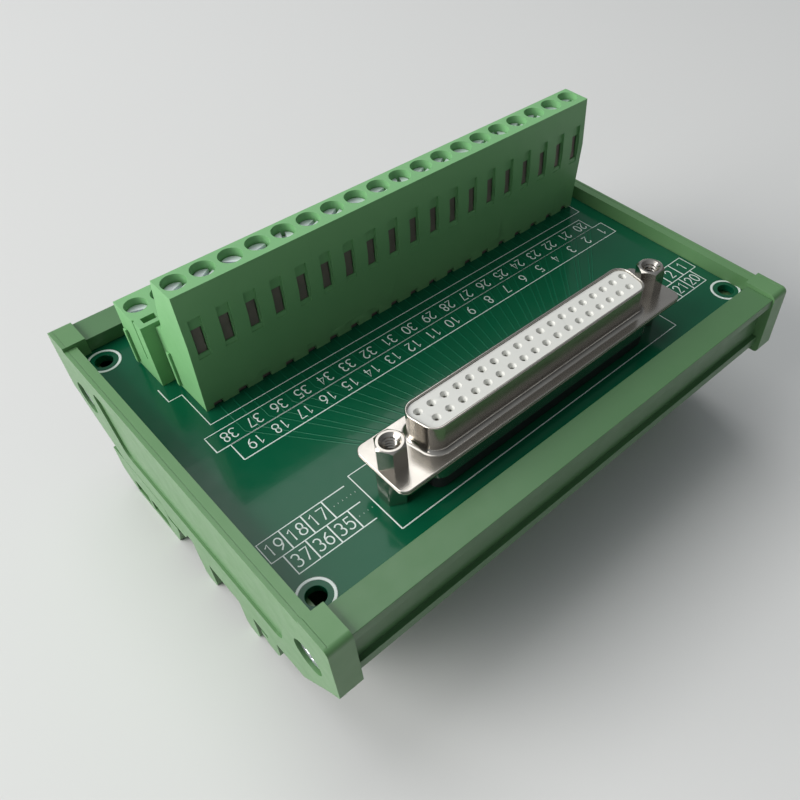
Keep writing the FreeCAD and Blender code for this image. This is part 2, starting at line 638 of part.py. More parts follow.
def terminal_housing(number, first, count):
    body = new_body("terminal_housing_%d" % number)
    z = board_top
    tall = [
        (v("tall_base"), z), (v("tall_near"), z + v("tall_kink")), (v("tall_near"), z + v("tall_top")),
        (v("tall_back"), z + v("tall_top")), (v("tall_waist"), z + v("low_top") + v("waist_rise")),
        (v("low_near"), z + v("low_top") - v("step_low")), (v("low_near"), z),
    ]
    low = [
        (v("low_near"), z), (v("low_near"), z + v("low_top")), (v("low_front"), z + v("low_top")),
        (v("low_front"), z + v("low_lip")), (v("low_front") - v("lip_in"), z),
    ]
    left_tall = "@pole_left + %d * @pole_pitch" % first
    left_low = "@pole_left + %g * @pole_pitch" % (first - 0.5)
    length = "%d * @pole_pitch" % count
    add(body, draw(body, "YZ_Plane", [polygon(tall)], left_tall), length)
    add(body, draw(body, "YZ_Plane", [polygon(low)], left_low), length)
    for is_low in (False, True):
        lv = level(is_low)
        xs = pole_places(first, count, is_low)
        where = {name: "%s + %g" % (BOARD, lv[name]) for name in ("top", "head_low", "cavity_top")}
        bores = [circle(x, lv["screw_y"], v("screw_bore")) for x in xs]
        depth = "@screw_sink + @head_high"
        cut(body, draw(body, "XY_Plane", bores, where["top"]), depth)
        shelf = [centred(x, lv["screw_y"], v("shelf_hole"), v("shelf_hole")) for x in xs]
        cut(body, draw(body, "XY_Plane", shelf, where["head_low"]), "@shelf_thick")
        wide = v("cage_wide") + 2 * v("cage_play")
        near = lv["strip_near"] - v("strip_clear")
        far = lv["cage_far"] + v("cage_play")
        cavity = [box(x - wide / 2, near, x + wide / 2, far) for x in xs]
        cavity_high = lv["cavity_top"] - lv["cavity_low"]
        cut(body, draw(body, "XY_Plane", cavity, where["cavity_top"]), "%g" % cavity_high)
        lane_reach = v("tab_thick") / 2 + v("lane_clear")
        lane_far = lv["pin_y"] + lane_reach
        lane_near = min(near, lv["pin_y"] - lane_reach)
        lane_half = v("pin_lane") / 2
        lanes = [box(x - lane_half, lane_near, x + lane_half, lane_far) for x in xs]
        lane_top = "%s + %g" % (BOARD, lv["cavity_low"])
        cut(body, draw(body, "XY_Plane", lanes, lane_top), "%g" % (lv["cavity_low"] + 1))
        mouth_low = lv["cage_low"] + v("cage_floor")
        mouth_z = z + mouth_low
        mouth_half = v("wire_wide") / 2
        mouths = [box(x - mouth_half, mouth_z, x + mouth_half, mouth_z + v("wire_high")) for x in xs]
        cut(body, draw(body, "XZ_Plane", mouths, "%g" % (v("mouth_lap") - far)), "@mouth_deep")
    # Windows in the near wall of the upper level and notches at its base.
    xs = pole_places(first, count, False)
    windows = [box(x - v("window_wide") / 2, z + v("window_low"), x + v("window_wide") / 2,
                   z + v("window_low") + v("window_high")) for x in xs]
    cut(body, draw(body, "XZ_Plane", windows, "@window_lap - @tall_near"), "@window_deep")
    notches = [centred(x, z, v("notch_wide"), 2 * v("notch_high")) for x in xs]
    cut(body, draw(body, "XZ_Plane", notches, "-@tall_near"), "@notch_deep")
    xs = pole_places(first, count, True)
    vents = [centred(x, v("low_near") + v("vent_place"), v("vent_wide"), v("vent_deep")) for x in xs]
    cut(body, draw(body, "XY_Plane", vents, "%s + @low_top" % BOARD), "@vent_sink")
    nodes.append(body)


def clamp_masters():
    """The three metal pieces of a clamp, drawn about the screw's axis at board height."""
    masters = {}
    for is_low, word in ((False, "tall"), (True, "low")):
        lv = level(is_low)
        y = lv["screw_y"]
        screw = new_body("screw_master_" + word)
        head = "%s + %g" % (BOARD, lv["head_top"])
        add(screw, draw(screw, "XY_Plane", [circle(0, 0, v("head_round"))], head), "@head_high", back=True)
        shank_long = lv["head_low"] - lv["tab_top"] - v("tab_gap")
        shank_at = "%s + %g" % (BOARD, lv["head_low"])
        flats = v("shank_round") * math.sqrt(3)
        add(screw, draw(screw, "XY_Plane", [hexagon(0, 0, flats)], shank_at), "%g" % shank_long, back=True)
        slot = centred(0, 0, 3 * v("head_round"), v("slot_wide"))
        cut(screw, draw(screw, "XY_Plane", [slot], head), "@slot_deep")
        cage = new_body("cage_master_" + word)
        low = lv["cage_near"] - y
        high = lv["cage_far"] - y
        half = v("cage_wide") / 2
        roof = "%s + %g" % (BOARD, lv["cage_top"])
        add(cage, draw(cage, "XY_Plane", [box(-half, low, half, high)], roof), "@cage_high", back=True)
        z = board_top + lv["cage_low"]
        window = box(-half + v("cage_wall"), z + v("cage_floor"),
                     half - v("cage_wall"), z + v("cage_high") - v("cage_roof"))
        cut(cage, draw(cage, "XZ_Plane", [window]), "4 * @cage_deep", both=True)
        thread = 2 * (v("shank_round") + v("fit_clear"))
        cut(cage, draw(cage, "XY_Plane", [centred(0, 0, thread, thread)], roof), "@cage_roof + @cage_play")
        strip = new_body("strip_master_" + word)
        near = lv["strip_near"]
        thick = v("tab_thick")
        pin = lv["pin_y"]
        base = board_low - v("pin_below")
        bend = board_top + lv["cavity_low"] - v("bend_drop")
        tab_far = lv["cage_far"] - v("tab_short")
        tab_top = board_top + lv["tab_top"]
        outline = [
            (pin - thick / 2, base), (pin - thick / 2, bend), (near, bend + thick), (near, tab_top),
            (tab_far, tab_top), (tab_far, tab_top - thick), (near + thick, tab_top - thick),
            (near + thick, bend + thick), (pin + thick / 2, bend), (pin + thick / 2, base),
        ]
        if is_low:
            outline = [
                (pin - thick / 2, base), (pin - thick / 2, tab_top), (tab_far, tab_top),
                (tab_far, tab_top - thick), (pin + thick / 2, tab_top - thick), (pin + thick / 2, base),
            ]
        add(strip, draw(strip, "YZ_Plane", [polygon(outline)]), "@strip_wide", both=True)
        masters[word] = (screw, cage, strip)
    doc.recompute()
    return masters


# Directions the slots of the clamp screws were left at, in degrees, repeated along a row.
SLOT_TURNS = [24, 31, -38, 12, 67, -20, 48, -55, 5, 80]


def clamps(masters):
    turn = 0
    for number, (first, count) in enumerate(MODULES, start=1):
        screws = []
        cages = []
        strips = []
        for is_low, word in ((False, "tall"), (True, "low")):
            screw, cage, strip = masters[word]
            y = level(is_low)["screw_y"]
            for k, x in enumerate(pole_places(first, count, is_low), start=1):
                angle = SLOT_TURNS[turn % len(SLOT_TURNS)]
                turn += 1
                screw_at = Placement(Vector(x, y, 0), Rotation(Vector(0, 0, 1), angle))
                cage_at = Placement(Vector(x, y, 0), Rotation())
                strip_at = Placement(Vector(x, 0, 0), Rotation())
                row = "upper" if not is_low else "lower"
                if number == 1:
                    nodes.append(copies("clamp_screw_%s_%d" % (row, k), screw, [screw_at]))
                    nodes.append(copies("clamp_cage_%s_%d" % (row, k), cage, [cage_at]))
                else:
                    screws.append((screw, screw_at))
                    cages.append((cage, cage_at))
                strips.append((strip, strip_at))
        groups = [("contact_strips_%d" % number, strips)]
        if number > 1:
            groups += [("clamp_screws_%d" % number, screws), ("clamp_cages_%d" % number, cages)]
        for label, members in groups:
            shapes = [m.Shape.transformed(p.toMatrix(), True) for m, p in members]
            feature = doc.addObject("Part::Feature", label)
            feature.Label = label
            feature.Shape = Part.makeCompound(shapes)
            nodes.append(feature)


carrier_profile()
end_plate("end_plate_left", -1)
end_plate("end_plate_right", 1)
plate_screws("end_plate_screws_left", -1)
plate_screws("end_plate_screws_right", 1)
rail_latch("rail_latch_left", -1)
rail_latch("rail_latch_right", 1)
circuit_board()
dsub_front_shell()
dsub_rear_shell()
dsub_front_insulator()
dsub_rear_insulator()
dsub_contacts()
jack_post("jack_post_left", -1)
jack_post("jack_post_right", 1)
jack_spacers()
board_bolts()
for number, (first, count) in enumerate(MODULES, start=1):
    terminal_housing(number, first, count)
clamps(clamp_masters())
doc.recompute()

for item in doc.Objects:
    if "Invalid" in item.State or "Error" in item.State:
        raise RuntimeError("%s failed: %s" % (item.Name, item.State))
for node in nodes:
    if node.Shape.isNull() or not node.Shape.isValid():
        raise RuntimeError("%s has no valid shape" % node.Label)
    node.Shape.exportStep("parts/%s.step" % node.Label)
    print(node.Label, len(node.Shape.Solids), round(node.Shape.Volume, 1))
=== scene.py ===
import bpy
import bmesh
import json
import math
from mathutils import Matrix, Vector


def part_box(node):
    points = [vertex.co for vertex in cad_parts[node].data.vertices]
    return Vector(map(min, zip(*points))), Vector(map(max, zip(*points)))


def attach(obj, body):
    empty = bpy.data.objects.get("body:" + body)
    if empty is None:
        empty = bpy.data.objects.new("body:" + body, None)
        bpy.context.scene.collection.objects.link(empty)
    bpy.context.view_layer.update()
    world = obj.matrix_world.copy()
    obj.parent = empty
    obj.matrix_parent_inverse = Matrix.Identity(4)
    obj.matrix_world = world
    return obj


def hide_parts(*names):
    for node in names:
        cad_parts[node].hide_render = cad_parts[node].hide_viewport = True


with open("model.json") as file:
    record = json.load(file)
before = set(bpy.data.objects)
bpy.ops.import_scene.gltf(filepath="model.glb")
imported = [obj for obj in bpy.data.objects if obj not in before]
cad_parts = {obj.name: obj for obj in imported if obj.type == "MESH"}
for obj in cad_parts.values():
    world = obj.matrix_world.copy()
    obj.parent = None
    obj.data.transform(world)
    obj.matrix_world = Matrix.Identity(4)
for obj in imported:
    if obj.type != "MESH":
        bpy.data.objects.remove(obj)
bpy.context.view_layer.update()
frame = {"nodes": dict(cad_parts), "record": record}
MM = 0.001
ROOT = "adapter"


# Places shared by several pieces, in metres, and the standard sizes of the connector and terminals.
BOARD_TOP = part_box("circuit_board")[1].z
POLE = 5.08 * MM
POLE_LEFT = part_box("terminal_housing_1")[0].x + POLE / 2
LEVEL_POLES = 19
BLOCKS = 4
DSUB_Y = -27.7 * MM
CONTACT_PITCH = 2.77 * MM
CONTACT_ROW = 1.42 * MM
LONG_ROW = 19
SHORT_ROW = 18
JACK_X = 31.75 * MM
# How far a cutting box reaches out past the face it cuts.
OVER = 1 * MM


# Materials
def new_material(name):
    """A node material with its tree's nodes, links and main shader."""
    material = bpy.data.materials.new(name)
    material.use_nodes = True
    nodes = material.node_tree.nodes
    return material, nodes, material.node_tree.links, nodes["Principled BSDF"]


def group_tree(name, inputs, outputs):
    """A shader node group with named sockets."""
    tree = bpy.data.node_groups.new(name, "ShaderNodeTree")
    for label, kind, value in inputs:
        socket = tree.interface.new_socket(label, in_out="INPUT", socket_type=kind)
        socket.default_value = value
    for label, kind in outputs:
        tree.interface.new_socket(label, in_out="OUTPUT", socket_type=kind)
    start = tree.nodes.new("NodeGroupInput")
    end = tree.nodes.new("NodeGroupOutput")
    return tree, start, end


def noise(nodes, scale, detail=2):
    """A noise texture with so many waves a metre."""
    texture = nodes.new("ShaderNodeTexNoise")
    texture.inputs["Scale"].default_value = scale
    texture.inputs["Detail"].default_value = detail
    return texture


def moulded_skin():
    """Mottled colour, uneven gloss and a fine spark-eroded grain, for moulded plastic."""
    tree, start, end = group_tree(
        "moulded_skin",
        [("Colour", "NodeSocketColor", (0.3, 0.5, 0.3, 1)), ("Pale", "NodeSocketColor", (0.4, 0.6, 0.4, 1)),
         ("Mottle", "NodeSocketFloat", 0.4), ("Rough", "NodeSocketFloat", 0.4),
         ("Grain", "NodeSocketFloat", 1.0)],
        [("Colour", "NodeSocketColor"), ("Roughness", "NodeSocketFloat"), ("Height", "NodeSocketFloat")])
    make = tree.nodes.new
    link = tree.links.new
    place = make("ShaderNodeTexCoord")
    cloud = noise(tree.nodes, scale=60, detail=4)
    grain = noise(tree.nodes, scale=2600)
    scuff = noise(tree.nodes, scale=320, detail=6)
    for texture in (cloud, grain, scuff):
        link(place.outputs["Object"], texture.inputs["Vector"])
    spread = make("ShaderNodeMapRange")
    spread.inputs["From Min"].default_value = 0.35
    spread.inputs["From Max"].default_value = 0.65
    link(cloud.outputs["Fac"], spread.inputs["Value"])
    amount = make("ShaderNodeMath")
    amount.operation = "MULTIPLY"
    link(spread.outputs["Result"], amount.inputs[0])
    link(start.outputs["Mottle"], amount.inputs[1])
    blend = make("ShaderNodeMix")
    blend.data_type = "RGBA"
    link(amount.outputs[0], blend.inputs["Factor"])
    link(start.outputs["Colour"], blend.inputs["A"])
    link(start.outputs["Pale"], blend.inputs["B"])
    link(blend.outputs["Result"], end.inputs["Colour"])
    # The scuffs add to the roughness.
    dull = make("ShaderNodeMath")
    dull.operation = "MULTIPLY_ADD"
    dull.inputs[1].default_value = SCUFF_ROUGH
    link(scuff.outputs["Fac"], dull.inputs[0])
    link(start.outputs["Rough"], dull.inputs[2])
    link(dull.outputs[0], end.inputs["Roughness"])
    tall = make("ShaderNodeMath")
    tall.operation = "MULTIPLY"
    link(grain.outputs["Fac"], tall.inputs[0])
    link(start.outputs["Grain"], tall.inputs[1])
    link(tall.outputs[0], end.inputs["Height"])
    return tree


def plastic(name, colour, pale, rough, grain=1.0, coat=0.0, shine=0.5):
    """Moulded plastic, lacquer or ink: a colour mottled with a paler one."""
    material, nodes, links, shader = new_material(name)
    skin = nodes.new("ShaderNodeGroup")
    skin.node_tree = SKIN
    skin.inputs["Colour"].default_value = (*colour, 1)
    skin.inputs["Pale"].default_value = (*pale, 1)
    skin.inputs["Mottle"].default_value = MOTTLE
    skin.inputs["Rough"].default_value = rough
    skin.inputs["Grain"].default_value = grain
    bump = nodes.new("ShaderNodeBump")
    bump.inputs["Strength"].default_value = GRAIN_STRENGTH
    bump.inputs["Distance"].default_value = GRAIN_HIGH
    links.new(skin.outputs["Colour"], shader.inputs["Base Color"])
    links.new(skin.outputs["Roughness"], shader.inputs["Roughness"])
    links.new(skin.outputs["Height"], bump.inputs["Height"])
    links.new(bump.outputs["Normal"], shader.inputs["Normal"])
    shader.inputs["Coat Weight"].default_value = coat
    shader.inputs["Specular IOR Level"].default_value = shine
    return material


def plated_metal(name, colour, dark, rough, metallic=1.0, marks=0.12):
    """Plated steel: smudged gloss, faint rolling marks along X and a tint that drifts."""
    material, nodes, links, shader = new_material(name)
    place = nodes.new("ShaderNodeTexCoord")
    stretch = nodes.new("ShaderNodeMapping")
    stretch.inputs["Scale"].default_value = ROLLING_SCALE
    smear = noise(nodes, scale=1.0, detail=3)
    cloud = noise(nodes, scale=240, detail=5)
    links.new(place.outputs["Object"], stretch.inputs["Vector"])
    links.new(stretch.outputs["Vector"], smear.inputs["Vector"])
    links.new(place.outputs["Object"], cloud.inputs["Vector"])
    tint = nodes.new("ShaderNodeMix")
    tint.data_type = "RGBA"
    tint.inputs["A"].default_value = (*colour, 1)
    tint.inputs["B"].default_value = (*dark, 1)
    links.new(cloud.outputs["Fac"], tint.inputs["Factor"])
    links.new(tint.outputs["Result"], shader.inputs["Base Color"])
    dull = nodes.new("ShaderNodeMapRange")
    dull.inputs["To Min"].default_value = rough
    dull.inputs["To Max"].default_value = rough + SMUDGE_ROUGH
    links.new(cloud.outputs["Fac"], dull.inputs["Value"])
    links.new(dull.outputs["Result"], shader.inputs["Roughness"])
    bump = nodes.new("ShaderNodeBump")
    bump.inputs["Strength"].default_value = marks
    bump.inputs["Distance"].default_value = MARKS_HIGH
    links.new(smear.outputs["Fac"], bump.inputs["Height"])
    links.new(bump.outputs["Normal"], shader.inputs["Normal"])
    shader.inputs["Metallic"].default_value = metallic
    return material


# Skin of the plastics: how far the colour drifts, what scuffs add to the roughness, and the grain.
MOTTLE = 0.4
SCUFF_ROUGH = 0.22
GRAIN_STRENGTH = 0.25
GRAIN_HIGH = 0.03 * MM
# Skin of the metals: what smudges add to the roughness, and the rolling marks.
SMUDGE_ROUGH = 0.16
MARKS_HIGH = 0.02 * MM
ROLLING_SCALE = (120, 1500, 1500)

SKIN = moulded_skin()
PLATE_GREEN = plastic("plate_green", (0.100, 0.225, 0.088), (0.125, 0.26, 0.11), rough=0.26)
CARRIER_GREEN = plastic("carrier_green", (0.068, 0.165, 0.064), (0.085, 0.19, 0.08), rough=0.26, grain=0.5)
TERMINAL_GREEN = plastic("terminal_green", (0.170, 0.40, 0.165), (0.20, 0.44, 0.19), rough=0.34)
BOARD_GREEN = plastic("solder_mask", (0.003, 0.082, 0.037), (0.005, 0.100, 0.047), rough=0.05, grain=0.12,
                      coat=0.1, shine=0.22)
MASKED_COPPER = plastic("masked_copper", (0.005, 0.108, 0.052), (0.007, 0.122, 0.058), rough=0.10,
                        grain=0.12, coat=0.1, shine=0.22)
INK = plastic("white_ink", (0.66, 0.73, 0.69), (0.74, 0.80, 0.76), rough=0.45, grain=0.6)
INSERT_WHITE = plastic("insert_white", (0.62, 0.62, 0.58), (0.68, 0.68, 0.64), rough=0.26, grain=0.5)
REAR_BLACK = plastic("rear_black", (0.012, 0.013, 0.014), (0.02, 0.021, 0.022), rough=0.35, grain=0.7)
NICKEL = plated_metal("nickel_plate", (0.58, 0.55, 0.50), (0.42, 0.39, 0.35), rough=0.13, marks=0.04)
ZINC = plated_metal("zinc_plate", (0.66, 0.69, 0.73), (0.46, 0.49, 0.54), rough=0.20)
SCREW_ZINC = plated_metal("bright_screw_zinc", (0.86, 0.88, 0.92), (0.70, 0.73, 0.78), rough=0.30,
                          metallic=0.55)
BRONZE = plated_metal("tinned_strip", (0.30, 0.235, 0.22), (0.19, 0.15, 0.14), rough=0.48, metallic=0.45)
GOLD = plated_metal("contact_brass", (0.80, 0.66, 0.36), (0.62, 0.50, 0.28), rough=0.25)

FINISH = {
    "carrier_green": CARRIER_GREEN, "plate_green": PLATE_GREEN, "terminal_green": TERMINAL_GREEN,
    "board": BOARD_GREEN, "nickel": NICKEL, "steel": ZINC, "screw": SCREW_ZINC, "insulator": INSERT_WHITE,
    "contact": GOLD, "strip": BRONZE, "cage": BRONZE,
}
SLOT_OF = {s["node"]: s["material_slot"] for s in frame["record"]["subparts"]}


def dress(node):
    """Gives a CAD node the finish of its slot."""
    piece = frame["nodes"][node]
    piece.data.materials.clear()
    piece.data.materials.append(FINISH[SLOT_OF[node]])


for name in frame["nodes"]:
    dress(name)
# The rear insulator is made near-black, so the strip that shows under the connector's flange is dark.
frame["nodes"]["dsub_rear_insulator"].data.materials[0] = REAR_BLACK


# Softened copies of the hard pieces, with the small radii that moulding and pressing leave.
# Edges sharper than EDGE_ANGLE are rounded, and faces closer than FLAT_ANGLE are joined first.
EDGE_ANGLE = math.radians(32.0)
FLAT_ANGLE = math.radians(1.0)


def merged_copy(node):
    """A bmesh of a CAD node with its loose triangles joined."""
    form = bmesh.new()
    form.from_mesh(frame["nodes"][node].data)
    bmesh.ops.remove_doubles(form, verts=form.verts, dist=0.002 * MM)
    return form


def box_form(low, high, form=None):
    """A closed box between two corners, added to a form."""
    form = form or bmesh.new()
    low = Vector(low)
    high = Vector(high)
    made = bmesh.ops.create_cube(form, size=1.0)["verts"]
    bmesh.ops.scale(form, vec=high - low, verts=made)
    bmesh.ops.translate(form, vec=(low + high) / 2, verts=made)
    return form


def combined(form, tool, operation="DIFFERENCE"):
    """The form after a cut, a join or an intersection with the tool; both forms are used up."""
    pair = []
    for part in (form, tool):
        mesh = bpy.data.meshes.new("blank")
        part.to_mesh(mesh)
        part.free()
        piece = bpy.data.objects.new("blank", mesh)
        bpy.context.scene.collection.objects.link(piece)
        pair.append(piece)
    cut = pair[0].modifiers.new("cut", "BOOLEAN")
    cut.object = pair[1]
    cut.operation = operation
    cut.solver = "EXACT"
    bpy.context.view_layer.update()
    view = bpy.context.evaluated_depsgraph_get()
    result = bpy.data.meshes.new_from_object(pair[0].evaluated_get(view))
    whole = bmesh.new()
    whole.from_mesh(result)
    for piece in pair:
        bpy.data.objects.remove(piece)
    return whole


def finished_piece(form, name, material, body, corner=40.0):
    """Makes an object of the form, smooth but for edges sharper than the corner angle in degrees."""
    mesh = bpy.data.meshes.new(name)
    form.to_mesh(mesh)
    form.free()
    for face in mesh.polygons:
        face.use_smooth = True
    mesh.set_sharp_from_angle(angle=math.radians(corner))
    mesh.materials.append(material)
    piece = bpy.data.objects.new(name, mesh)
    bpy.context.scene.collection.objects.link(piece)
    flats = piece.modifiers.new("flats", "WEIGHTED_NORMAL")
    flats.keep_sharp = True
    flats.weight = 100
    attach(piece, body)
    return piece


def soften_edges(form, radius, segments=2):
    """Rounds every edge sharper than EDGE_ANGLE."""
    bmesh.ops.dissolve_limit(form, angle_limit=FLAT_ANGLE, verts=form.verts, edges=form.edges)
    sharp = [e for e in form.edges if len(e.link_faces) == 2 and e.calc_face_angle(0) > EDGE_ANGLE]
    bmesh.ops.bevel(form, geom=sharp, offset=radius, offset_type="OFFSET", affect="EDGES",
                    segments=segments, profile=0.5, material=-1, clamp_overlap=True)


def softened(node, radius, segments=2, recesses=None, added=None):
    """Replaces a CAD node by a copy with rounded edges, after forms are added to it and cut from it."""
    form = merged_copy(node)
    if added is not None:
        form = combined(form, added, "UNION")
    if recesses is not None:
        form = combined(form, recesses)
    soften_edges(form, radius, segments)
    piece = finished_piece(form, node + "_shape", FINISH[SLOT_OF[node]], body_of(node))
    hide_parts(node)


def body_of(node):
    """The body that a CAD node belongs to."""
    for body, members in frame["record"]["behaviour"]["bodies"].items():
        if node in members:
            return body
    return ROOT


# Terminal blocks: a sunk frame round each window of the near wall, and the joining slits and tongues
# of the first block's left end.
def pole_centres(block):
    """X of the upper poles of one block."""
    low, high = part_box("terminal_housing_%d" % block)
    count = round((high.x - low.x) / POLE - 0.5)
    return [low.x + POLE * (k + 1) for k in range(count)]


def window_frames(block):
    """Boxes that sink the frames into the near wall."""
    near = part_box("terminal_housing_%d" % block)[0].y
    half, deep = 1.15 * MM, 0.55 * MM
    low, high = 12.7 * MM, 21.4 * MM
    tool = bmesh.new()
    for x in pole_centres(block):
        box_form((x - half, near - OVER, BOARD_TOP + low), (x + half, near + deep, BOARD_TOP + high), tool)
    return tool


def near_wall(block):
    """The lower part of the near wall in front of each leg, following the wall's slope below its kink."""
    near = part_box("terminal_housing_%d" % block)[0].y
    half, thick = 1.3 * MM, 0.7 * MM
    low, high = 1.2 * MM, 10 * MM
    kink_high, foot_in = 16.45 * MM, 1.7 * MM
    panel = bmesh.new()
    for x in pole_centres(block):
        box_form((x - half, near, BOARD_TOP + low), (x + half, near + thick, BOARD_TOP + high), panel)
    for corner in panel.verts:
        corner.co.y += (BOARD_TOP + kink_high - corner.co.z) * foot_in / kink_high
    return panel


# Slits in the first block's end: near side, far side, foot and top, in mm.
SLITS = ((23.05, 23.5, 4.9, 15.0), (28.15, 28.5, 0.8, 8.4))
SLIT_DEEP = 0.3 * MM
# Tongues on the first block's lower and tall ends: near sides, thickness, foot and top.
LOW_TONGUE_Y = 28.6 * MM
TALL_TONGUE_Y = 17.7 * MM
TONGUE_THICK = 0.9 * MM
TONGUE_FOOT = 0.6 * MM
TONGUE_TOP = 8.6 * MM
TONGUE_OUT = 0.5 * MM
TONGUE_IN = 0.1 * MM


def terminal_blocks():
    low_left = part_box("terminal_housing_1")[0].x
    for block in range(1, BLOCKS + 1):
        tool = window_frames(block)
        if block == 1:
            for near, far, foot, top in SLITS:
                box_form((low_left - OVER, near * MM, BOARD_TOP + foot * MM),
                         (low_left + SLIT_DEEP, far * MM, BOARD_TOP + top * MM), tool)
        softened("terminal_housing_%d" % block, 0.11 * MM, recesses=tool, added=near_wall(block))
    tongues = bmesh.new()
    for left, y in ((low_left, LOW_TONGUE_Y), (low_left + POLE / 2, TALL_TONGUE_Y)):
        box_form((left - TONGUE_OUT, y, BOARD_TOP + TONGUE_FOOT),
                 (left + TONGUE_IN, y + TONGUE_THICK, BOARD_TOP + TONGUE_TOP), tongues)
    soften_edges(tongues, 0.12 * MM)
    finished_piece(tongues, "joining_tongues", TERMINAL_GREEN, ROOT)


# Connector: funnel mouths over the contacts, and hexagonal posts with a coned top and a thread.
def contact_mouths():
    """A light funnel in every contact hole of the insert's face."""
    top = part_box("dsub_front_insulator")[1].z
    throat, mouth, deep, sink = 0.34 * MM, 0.78 * MM, 0.75 * MM, 0.40 * MM
    form = bmesh.new()
    for count, y in ((LONG_ROW, CONTACT_ROW), (SHORT_ROW, -CONTACT_ROW)):
        for k in range(count):
            x = (k - (count - 1) / 2) * CONTACT_PITCH
            made = bmesh.ops.create_cone(form, cap_ends=False, segments=20, radius1=throat, radius2=mouth,
                                         depth=deep)["verts"]
            bmesh.ops.translate(form, vec=(x, DSUB_Y + y, top - sink), verts=made)
    bmesh.ops.reverse_faces(form, faces=form.faces)
    finished_piece(form, "contact_mouths", INSERT_WHITE, ROOT)


def profile_line(form, points):
    """Vertices and edges through points of (radius, height), ready to be spun about Z."""
    line = [form.verts.new((radius, 0, height)) for radius, height in points]
    return line + [form.edges.new(pair) for pair in zip(line, line[1:])]


def turned(points, steps):
    """A closed form turned about Z from a profile that starts and ends on the axis."""
    form = bmesh.new()
    bmesh.ops.spin(form, geom=profile_line(form, points), cent=(0, 0, 0), axis=(0, 0, 1), angle=2 * math.pi,
                   steps=steps, use_merge=True)
    bmesh.ops.remove_doubles(form, verts=form.verts, dist=0.001 * MM)
    bmesh.ops.recalc_face_normals(form, faces=form.faces)
    return form


# Jack posts: the hexagon and its coned corners, the bore and its countersink, the thread and the stud.
POST_HIGH = 5.05 * MM
HEX_CORNER = 2.742 * MM
CONE_WIDE = 3.2 * MM
CONE_TOP = 2.22 * MM
CONE_DEEP = 0.62 * MM
BORE_ROUND = 1.27 * MM
BORE_DEEP = 4 * MM
SINK_ROUND = 1.95 * MM
SINK_DEEP = 0.55 * MM
SINK_OVER = 0.13 * MM
THREAD_ROOT = 1.29 * MM
THREAD_CREST = 1.02 * MM
THREAD_DEEP = 3.9 * MM
THREAD_PITCH = 0.635 * MM
THREAD_TURNS = 5
THREAD_STEPS = 24
STUD_ROUND = 1.4 * MM


def threaded_post(side, word):
    """Hexagonal post: coned corners, countersunk mouth, a helical thread inside and its stud."""
    low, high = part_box("jack_post_" + word)
    x = side * JACK_X
    seat = high.z - POST_HIGH
    tall = high.z - seat
    top = tall / 2
    form = bmesh.new()
    bmesh.ops.create_cone(form, cap_ends=True, segments=6, radius1=HEX_CORNER, radius2=HEX_CORNER,
                          depth=tall)
    twist = Matrix.Rotation(math.radians(30), 3, "Z")
    bmesh.ops.rotate(form, cent=(0, 0, 0), matrix=twist, verts=form.verts)
    hull = turned(((0, -tall), (CONE_WIDE, -tall), (CONE_WIDE, top - CONE_DEEP), (CONE_TOP, top),
                   (0, top)), 48)
    form = combined(form, hull, "INTERSECT")
    bore = turned(((0, top - BORE_DEEP), (BORE_ROUND, top - BORE_DEEP), (BORE_ROUND, top - SINK_DEEP),
                   (SINK_ROUND, top + SINK_OVER), (0, top + SINK_OVER)), 40)
    form = combined(form, bore)
    bmesh.ops.dissolve_limit(form, angle_limit=FLAT_ANGLE, verts=form.verts, edges=form.edges)
    # The thread: a ridge wound up the bore.
    start = top - THREAD_DEEP
    ridge = profile_line(form, ((THREAD_ROOT, start), (THREAD_CREST, start + 0.30 * THREAD_PITCH),
                                (THREAD_CREST, start + 0.42 * THREAD_PITCH),
                                (THREAD_ROOT, start + 0.72 * THREAD_PITCH)))
    bmesh.ops.spin(form, geom=ridge, cent=(0, 0, 0), axis=(0, 0, 1), angle=2 * math.pi * THREAD_TURNS,
                   steps=THREAD_STEPS * THREAD_TURNS, dvec=(0, 0, THREAD_PITCH / THREAD_STEPS))
    bmesh.ops.translate(form, vec=(x, DSUB_Y, seat + top), verts=form.verts)
    stud = bmesh.ops.create_cone(form, cap_ends=True, segments=32, radius1=STUD_ROUND, radius2=STUD_ROUND,
                                 depth=seat - low.z)["verts"]
    bmesh.ops.translate(form, vec=(x, DSUB_Y, (seat + low.z) / 2), verts=stud)
    piece = finished_piece(form, "threaded_post_" + word, NICKEL, ROOT, corner=28.0)
    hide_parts("jack_post_" + word)


# Mould line on the end plates: its place in from the outer face, half its width and its depth.
GROOVE_IN = 0.75 * MM
GROOVE_HALF = 0.06 * MM
GROOVE_DEEP = 0.07 * MM
GROOVE_OVER = 0.3 * MM
# The plate's top is lower than its corner blocks, which are so long.
LEDGE_DROP = 0.8 * MM
BLOCK_LONG = 7.0 * MM


def parting_groove(word):
    """The faint mould line along the plate's top, near its outer face."""
    low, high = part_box("end_plate_" + word)
    side = 1 if high.x > 0 else -1
    line = side * (max(high.x, -low.x) - GROOVE_IN)
    block_in = high.y - BLOCK_LONG
    stretches = [(-block_in, block_in, high.z - LEDGE_DROP)]
    for end in (-1, 1):
        stretches.append((*sorted((end * block_in, end * (high.y + OVER))), high.z))
    tool = bmesh.new()
    for start, stop, top in stretches:
        box_form((line - GROOVE_HALF, start, top - GROOVE_DEEP),
                 (line + GROOVE_HALF, stop, top + GROOVE_OVER), tool)
    return tool


